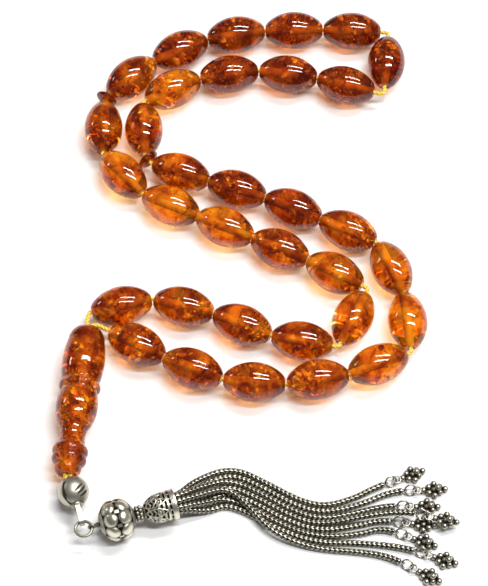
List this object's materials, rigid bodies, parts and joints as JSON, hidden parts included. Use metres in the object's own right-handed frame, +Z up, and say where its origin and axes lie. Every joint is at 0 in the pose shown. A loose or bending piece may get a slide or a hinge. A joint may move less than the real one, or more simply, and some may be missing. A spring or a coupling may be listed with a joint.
{
  "type": "prayer beads",
  "caption": "String of translucent amber barrel beads with two disc dividers and a turned leader bead, ending in a silver tassel of fine chains with granule clusters.",
  "frame": {"origin": "centre of the footprint of the beads, leader bead and silver fittings, on the surface they lie on", "axes": "+Z up; +Y from the tassel to the far end of the bead loop; +X along the tassel towards its tips"},
  "size_m": [0.0967, 0.1609, 0.0105],
  "materials": {
    "amber_bead": "polished translucent amber with spangles",
    "amber_disc": "polished translucent amber",
    "amber_leader": "polished translucent amber, speckled",
    "thread": "twisted golden yellow silk",
    "silver": "oxidised silver, polished on the high spots",
    "silver_chain": "woven silver wire with dark recesses"
  },
  "bodies": {
    "string": {"thread": "thread"},
    "knot_cover": {"knot_cover_front": "silver", "knot_cover_rear": "silver"},
    "link_ring": {"link_ring": "silver"},
    "tassel": {"eye_pin": "silver", "chain_1": "silver_chain", "chain_2": "silver_chain", "chain_3": "silver_chain", "chain_4": "silver_chain", "chain_5": "silver_chain", "chain_6": "silver_chain", "chain_7": "silver_chain", "chain_8": "silver_chain"},
    "ball": {"ball": "silver"},
    "granule_collar": {"granule_collar": "silver"},
    "filigree_cone": {"filigree_cone": "silver"},
    "cluster_1": {"cluster_1": "silver"},
    "cluster_2": {"cluster_2": "silver"},
    "cluster_3": {"cluster_3": "silver"},
    "cluster_4": {"cluster_4": "silver"},
    "cluster_5": {"cluster_5": "silver"},
    "cluster_6": {"cluster_6": "silver"},
    "cluster_7": {"cluster_7": "silver"},
    "cluster_8": {"cluster_8": "silver"},
    "imam": {"imam": "amber_leader"},
    "bead_01": {"bead_01": "amber_bead"},
    "bead_02": {"bead_02": "amber_bead"},
    "bead_03": {"bead_03": "amber_bead"},
    "bead_04": {"bead_04": "amber_bead"},
    "bead_05": {"bead_05": "amber_bead"},
    "bead_06": {"bead_06": "amber_bead"},
    "bead_07": {"bead_07": "amber_bead"},
    "bead_08": {"bead_08": "amber_bead"},
    "bead_09": {"bead_09": "amber_bead"},
    "bead_10": {"bead_10": "amber_bead"},
    "bead_11": {"bead_11": "amber_bead"},
    "divider_1": {"divider_1": "amber_disc"},
    "bead_12": {"bead_12": "amber_bead"},
    "bead_13": {"bead_13": "amber_bead"},
    "bead_14": {"bead_14": "amber_bead"},
    "bead_15": {"bead_15": "amber_bead"},
    "bead_16": {"bead_16": "amber_bead"},
    "bead_17": {"bead_17": "amber_bead"},
    "bead_18": {"bead_18": "amber_bead"},
    "bead_19": {"bead_19": "amber_bead"},
    "bead_20": {"bead_20": "amber_bead"},
    "bead_21": {"bead_21": "amber_bead"},
    "bead_22": {"bead_22": "amber_bead"},
    "divider_2": {"divider_2": "amber_disc"},
    "bead_23": {"bead_23": "amber_bead"},
    "bead_24": {"bead_24": "amber_bead"},
    "bead_25": {"bead_25": "amber_bead"},
    "bead_26": {"bead_26": "amber_bead"},
    "bead_27": {"bead_27": "amber_bead"},
    "bead_28": {"bead_28": "amber_bead"},
    "bead_29": {"bead_29": "amber_bead"},
    "bead_30": {"bead_30": "amber_bead"},
    "bead_31": {"bead_31": "amber_bead"},
    "bead_32": {"bead_32": "amber_bead"},
    "bead_33": {"bead_33": "amber_bead"}
  },
  "joints": [
    {"name": "cover_turn", "type": "hinge", "parent": "string", "child": "knot_cover", "pos_m": [-0.03994, -0.06325, 0.0051], "axis": [0.2756, -0.9613, 0], "range_deg": [0, 60]},
    {"name": "ring_turn", "type": "hinge", "parent": "knot_cover", "child": "link_ring", "pos_m": [-0.0372, -0.07282, 0.0051], "axis": [0, 0, 1], "range_deg": [-45, 10]},
    {"name": "pin_swing", "type": "hinge", "parent": "link_ring", "child": "tassel", "pos_m": [-0.03533, -0.07224, 0.0051], "axis": [0.2924, -0.9563, 0], "range_deg": [0, 50]},
    {"name": "ball_spin", "type": "hinge", "parent": "tassel", "child": "ball", "pos_m": [-0.02945, -0.07045, 0.0051], "axis": [0.9563, 0.2924, 0], "continuous": true},
    {"name": "collar_spin", "type": "hinge", "parent": "tassel", "child": "granule_collar", "pos_m": [-0.02433, -0.06888, 0.0051], "axis": [0.9563, 0.2924, 0], "continuous": true},
    {"name": "cone_spin", "type": "hinge", "parent": "tassel", "child": "filigree_cone", "pos_m": [-0.01951, -0.06741, 0.0051], "axis": [0.9563, 0.2924, 0], "continuous": true},
    {"name": "cluster_1_swing", "type": "hinge", "parent": "tassel", "child": "cluster_1", "pos_m": [0.03412, -0.05929, 0.00135], "axis": [0.3746, -0.9272, 0], "range_deg": [0, 30]},
    {"name": "cluster_2_swing", "type": "hinge", "parent": "tassel", "child": "cluster_2", "pos_m": [0.03863, -0.06114, 0.00135], "axis": [0.0698, -0.9976, 0], "range_deg": [0, 30]},
    {"name": "cluster_3_swing", "type": "hinge", "parent": "tassel", "child": "cluster_3", "pos_m": [0.03671, -0.06515, 0.00135], "axis": [0, -1, 0], "range_deg": [0, 30]},
    {"name": "cluster_4_swing", "type": "hinge", "parent": "tassel", "child": "cluster_4", "pos_m": [0.04106, -0.06798, 0.00305], "axis": [-0.2079, -0.9781, 0], "range_deg": [0, 30]},
    {"name": "cluster_5_swing", "type": "hinge", "parent": "tassel", "child": "cluster_5", "pos_m": [0.03624, -0.07194, 0.00135], "axis": [-0.342, -0.9397, 0], "range_deg": [0, 7]},
    {"name": "cluster_6_swing", "type": "hinge", "parent": "tassel", "child": "cluster_6", "pos_m": [0.04075, -0.07677, 0.00135], "axis": [-0.309, -0.9511, 0], "range_deg": [0, 30]},
    {"name": "cluster_7_swing", "type": "hinge", "parent": "tassel", "child": "cluster_7", "pos_m": [0.03744, -0.07974, 0.00135], "axis": [-0.4695, -0.8829, 0], "range_deg": [0, 30]},
    {"name": "cluster_8_swing", "type": "hinge", "parent": "tassel", "child": "cluster_8", "pos_m": [0.03574, -0.06914, 0.00135], "axis": [0, 0, 1], "range_deg": [-1.3, 1.3]},
    {"name": "imam_spin", "type": "hinge", "parent": "string", "child": "imam", "pos_m": [-0.03969, -0.03895, 0.00525], "axis": [0.0976, 0.9952, 0], "continuous": true},
    {"name": "spin_bead_01", "type": "hinge", "parent": "string", "child": "bead_01", "pos_m": [-0.02578, -0.02339, 0.0049], "axis": [0.8746, -0.4848, 0], "continuous": true},
    {"name": "spin_bead_02", "type": "hinge", "parent": "string", "child": "bead_02", "pos_m": [-0.01206, -0.03008, 0.0049], "axis": [0.9205, -0.3907, 0], "continuous": true},
    {"name": "spin_bead_03", "type": "hinge", "parent": "string", "child": "bead_03", "pos_m": [0.00287, -0.0338, 0.0049], "axis": [0.9962, -0.0872, 0], "continuous": true},
    {"name": "spin_bead_04", "type": "hinge", "parent": "string", "child": "bead_04", "pos_m": [0.01823, -0.03313, 0.0049], "axis": [0.9848, 0.1736, 0], "continuous": true},
    {"name": "spin_bead_05", "type": "hinge", "parent": "string", "child": "bead_05", "pos_m": [0.03298, -0.0289, 0.0049], "axis": [0.9272, 0.3746, 0], "continuous": true},
    {"name": "spin_bead_06", "type": "hinge", "parent": "string", "child": "bead_06", "pos_m": [0.04052, -0.01684, 0.0049], "axis": [-0.0698, 0.9976, 0], "continuous": true},
    {"name": "spin_bead_07", "type": "hinge", "parent": "string", "child": "bead_07", "pos_m": [0.03692, -0.00188, 0.0049], "axis": [-0.3907, 0.9205, 0], "continuous": true},
    {"name": "spin_bead_08", "type": "hinge", "parent": "string", "child": "bead_08", "pos_m": [0.02646, 0.00914, 0.0049], "axis": [-0.8988, 0.4384, 0], "continuous": true},
    {"name": "spin_bead_09", "type": "hinge", "parent": "string", "child": "bead_09", "pos_m": [0.01277, 0.01567, 0.0049], "axis": [-0.9063, 0.4226, 0], "continuous": true},
    {"name": "spin_bead_10", "type": "hinge", "parent": "string", "child": "bead_10", "pos_m": [-0.00139, 0.02139, 0.0049], "axis": [-0.9455, 0.3256, 0], "continuous": true},
    {"name": "spin_bead_11", "type": "hinge", "parent": "string", "child": "bead_11", "pos_m": [-0.01569, 0.02646, 0.0049], "axis": [-0.9397, 0.342, 0], "continuous": true},
    {"name": "spin_divider_1", "type": "hinge", "parent": "string", "child": "divider_1", "pos_m": [-0.02406, 0.03036, 0.0049], "axis": [-0.5948, 0.8039, 0], "continuous": true},
    {"name": "spin_bead_12", "type": "hinge", "parent": "string", "child": "bead_12", "pos_m": [-0.02534, 0.0395, 0.0049], "axis": [-0.0523, 0.9986, 0], "continuous": true},
    {"name": "spin_bead_13", "type": "hinge", "parent": "string", "child": "bead_13", "pos_m": [-0.01811, 0.05203, 0.0049], "axis": [0.891, 0.454, 0], "continuous": true},
    {"name": "spin_bead_14", "type": "hinge", "parent": "string", "child": "bead_14", "pos_m": [-0.00348, 0.05678, 0.0049], "axis": [0.9877, 0.1564, 0], "continuous": true},
    {"name": "spin_bead_15", "type": "hinge", "parent": "string", "child": "bead_15", "pos_m": [0.01191, 0.05678, 0.0049], "axis": [0.9877, -0.1564, 0], "continuous": true},
    {"name": "spin_bead_16", "type": "hinge", "parent": "string", "child": "bead_16", "pos_m": [0.02681, 0.05334, 0.0049], "axis": [0.9563, -0.2924, 0], "continuous": true},
    {"name": "spin_bead_17", "type": "hinge", "parent": "string", "child": "bead_17", "pos_m": [0.03749, 0.06054, 0.0049], "axis": [0.0872, 0.9962, 0], "continuous": true},
    {"name": "spin_bead_18", "type": "hinge", "parent": "string", "child": "bead_18", "pos_m": [0.02875, 0.07059, 0.0049], "axis": [-0.9986, 0.0523, 0], "continuous": true},
    {"name": "spin_bead_19", "type": "hinge", "parent": "string", "child": "bead_19", "pos_m": [0.01351, 0.07086, 0.0049], "axis": [-0.9998, -0.0175, 0], "continuous": true},
    {"name": "spin_bead_20", "type": "hinge", "parent": "string", "child": "bead_20", "pos_m": [-0.00173, 0.06939, 0.0049], "axis": [-0.9848, -0.1736, 0], "continuous": true},
    {"name": "spin_bead_21", "type": "hinge", "parent": "string", "child": "bead_21", "pos_m": [-0.01632, 0.06451, 0.0049], "axis": [-0.891, -0.454, 0], "continuous": true},
    {"name": "spin_bead_22", "type": "hinge", "parent": "string", "child": "bead_22", "pos_m": [-0.02891, 0.05569, 0.0049], "axis": [-0.7314, -0.682, 0], "continuous": true},
    {"name": "spin_divider_2", "type": "hinge", "parent": "string", "child": "divider_2", "pos_m": [-0.03518, 0.04913, 0.0049], "axis": [-0.3987, -0.9171, 0], "continuous": true},
    {"name": "spin_bead_23", "type": "hinge", "parent": "string", "child": "bead_23", "pos_m": [-0.0357, 0.04007, 0.0049], "axis": [0, -1, 0], "continuous": true},
    {"name": "spin_bead_24", "type": "hinge", "parent": "string", "child": "bead_24", "pos_m": [-0.03038, 0.02584, 0.0049], "axis": [0.6561, -0.7547, 0], "continuous": true},
    {"name": "spin_bead_25", "type": "hinge", "parent": "string", "child": "bead_25", "pos_m": [-0.01809, 0.01658, 0.0049], "axis": [0.9063, -0.4226, 0], "continuous": true},
    {"name": "spin_bead_26", "type": "hinge", "parent": "string", "child": "bead_26", "pos_m": [-0.00436, 0.01018, 0.0049], "axis": [0.9063, -0.4226, 0], "continuous": true},
    {"name": "spin_bead_27", "type": "hinge", "parent": "string", "child": "bead_27", "pos_m": [0.00937, 0.00377, 0.0049], "axis": [0.9063, -0.4226, 0], "continuous": true},
    {"name": "spin_bead_28", "type": "hinge", "parent": "string", "child": "bead_28", "pos_m": [0.02294, -0.00314, 0.0049], "axis": [0.8746, -0.4848, 0], "continuous": true},
    {"name": "spin_bead_29", "type": "hinge", "parent": "string", "child": "bead_29", "pos_m": [0.02714, -0.01608, 0.0049], "axis": [-0.4226, -0.9063, 0], "continuous": true},
    {"name": "spin_bead_30", "type": "hinge", "parent": "string", "child": "bead_30", "pos_m": [0.01463, -0.02246, 0.0049], "axis": [-0.9816, 0.1908, 0], "continuous": true},
    {"name": "spin_bead_31", "type": "hinge", "parent": "string", "child": "bead_31", "pos_m": [-0.00002, -0.01784, 0.0049], "axis": [-0.9135, 0.4067, 0], "continuous": true},
    {"name": "spin_bead_32", "type": "hinge", "parent": "string", "child": "bead_32", "pos_m": [-0.01445, -0.01273, 0.0049], "axis": [-0.9659, 0.2588, 0], "continuous": true},
    {"name": "spin_bead_33", "type": "hinge", "parent": "string", "child": "bead_33", "pos_m": [-0.02981, -0.01259, 0.0049], "axis": [-0.9703, -0.2419, 0], "continuous": true}
  ]
}
